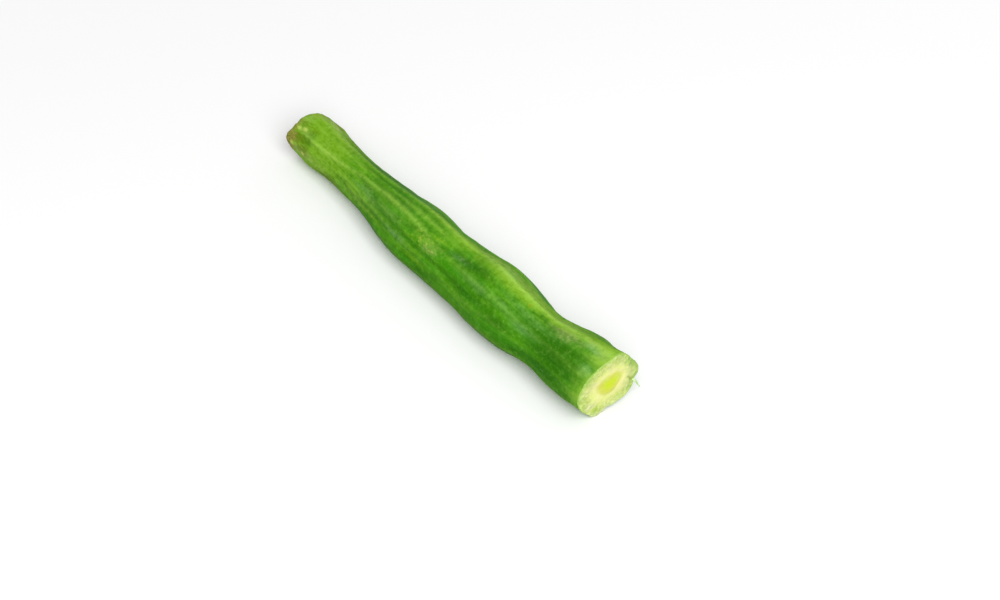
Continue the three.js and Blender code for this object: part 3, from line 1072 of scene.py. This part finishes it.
def dried_material():
    """The narrow end's old cut: browned wall around shrunken, corky pith."""
    s = Shader("dried_end")
    p = face_patterns(s, 0.4, 1.4, 4.0, detail=5, roughness=0.65)
    shreds = s.noise(s.scaled(s.field("skin", "Vector"), 0.35, 1.2, 1.2), detail=4, roughness=0.65)
    place = s.plus(p.share, s.times(p.unsure, 0.4))
    in_wall = s.step(place, 0.38, 0.66)
    folded = s.times(s.step(s.field("crease"), -0.2, -1.6), s.step(p.share, 0.3, 0.6))
    pith = s.mix(s.step(p.mottle, 0.38, 0.6), (168, 148, 96), (212, 200, 152))
    wall = s.mix(s.step(shreds, 0.36, 0.64), (116, 100, 50), (172, 156, 96))
    colour = s.layers(
        s.mix(in_wall, pith, wall),
        (s.step(place, 0.72, 0.92), 0.8, (122, 122, 48)),
        (folded, 0.6, (84, 66, 32)),
        (s.step(p.grain, 0.5, 0.3), 0.35, (84, 68, 36)),
        (s.step(p.grain, 0.5, 0.72), 0.3, (218, 208, 166)),
    )
    relief = s.plus(s.times(p.grain, 0.4), s.times(p.mottle, 0.8), s.times(shreds, in_wall, 0.8))
    return s.finish(colour, 0.75, 0.2, Normal=s.bump(relief, DRIED_BUMP))


def torn_fibre_material():
    """A pale shred of rind and flesh."""
    s = Shader("torn_fibre")
    place = s.node("ShaderNodeTexCoord", {}).outputs["Object"]
    streaks = s.noise(s.scaled(place, 900, 900, 300))
    colour = s.mix(s.step(streaks, 0.35, 0.65), (160, 206, 112), (206, 234, 170))
    return s.finish(colour, 0.5, 0.1, Normal=s.bump(streaks, FIBRE_BUMP))


def floor_material():
    """A pale floor with the pod's shadow on it, which turns into the white background further out."""
    s = Shader("floor")
    seen = s.background_ray()
    place = s.node("ShaderNodeTexCoord", {}).outputs["Object"]
    away = s.node("ShaderNodeVectorMath", {0: place}, operation="LENGTH").outputs["Value"]
    background = s.times(seen, s.step(away, FLOOR_SHADOW_REACH, FLOOR_END))
    colour = s.mix(seen, FLOOR_AS_LIGHT, FLOOR_AS_SEEN)
    colour = s.mix(background, colour, grey(0.0))
    return s.finish(colour, 0.9, 0.0, Emission_Strength=background, Emission_Color=grey(1.0))


# ---------- Studio ----------
VIEW_AZIMUTH = 51.34
VIEW_ELEVATION = 45.0
VIEW_DISTANCE = 0.6
VIEW_AIM = (0.01558, 0.00438, 0.0)
LENS = 86.4
SENSOR_WIDTH = 36.0
WORLD_LIGHT = 0.5
FLOOR_SHADOW_REACH = 0.09  # the floor is plain this far from the middle,
FLOOR_END = 0.35  # and white background from here on
FLOOR_HALF = 3.0
FLOOR_AS_SEEN = grey(0.97)
FLOOR_AS_LIGHT = grey(0.7)  # what it sends back up at the pod


def direction(azimuth, elevation):
    """The direction towards a place at that azimuth, where 0 is -Y and 90 is +X, and elevation."""
    a, e = math.radians(azimuth), math.radians(elevation)
    return np.array([math.sin(a) * math.cos(e), -math.cos(a) * math.cos(e), math.sin(e)])


def aim(item, target):
    """Turns a camera or lamp to look at the target."""
    item.rotation_euler = (Vector(target) - item.location).to_track_quat("-Z", "Y").to_euler()


def make_camera():
    """The camera, at the photograph's viewing angle."""
    camera = add_object("camera", bpy.data.cameras.new("camera"))
    camera.data.lens = LENS
    camera.data.sensor_width = SENSOR_WIDTH
    camera.data.clip_start = 0.01
    camera.location = np.array(VIEW_AIM) + VIEW_DISTANCE * direction(VIEW_AZIMUTH, VIEW_ELEVATION)
    aim(camera, VIEW_AIM)
    bpy.context.scene.camera = camera


def make_lamp(name, azimuth, elevation, distance, size, power):
    """A soft square lamp that shines on the middle."""
    lamp = add_object(name, bpy.data.lights.new(name, "AREA"))
    lamp.data.size = size
    lamp.data.energy = power
    lamp.location = direction(azimuth, elevation) * distance
    aim(lamp, (0, 0, 0))


def make_world():
    """Even light all round, in front of a white background."""
    world = bpy.data.worlds.new("studio")
    world.use_nodes = True
    w = Nodes(world.node_tree)
    light = w.node("ShaderNodeBackground", {"Color": grey(1.0), "Strength": WORLD_LIGHT})
    white = w.node("ShaderNodeBackground", {"Color": grey(1.0), "Strength": 1.0})
    mix = w.node("ShaderNodeMixShader", {0: w.background_ray(), 1: light.outputs[0], 2: white.outputs[0]})
    w.feed(world.node_tree.nodes["World Output"].inputs["Surface"], mix.outputs[0])
    bpy.context.scene.world = world


def make_floor():
    """The floor and background, as one large square."""
    corners = [(x * FLOOR_HALF, y * FLOOR_HALF, 0) for x, y in ((-1, -1), (1, -1), (1, 1), (-1, 1))]
    mesh = bpy.data.meshes.new("floor")
    mesh.from_pydata(corners, [], [(0, 1, 2, 3)])
    mesh.materials.append(floor_material())
    add_object("floor", mesh)


make_camera()
make_world()
make_floor()
make_lamp("key", azimuth=68, elevation=46, distance=1.2, size=0.9, power=13.5)
make_pod([rind_material(), cut_material(), dried_material()])
make_torn_fibre(torn_fibre_material())
bpy.context.scene.view_settings.view_transform = "Standard"
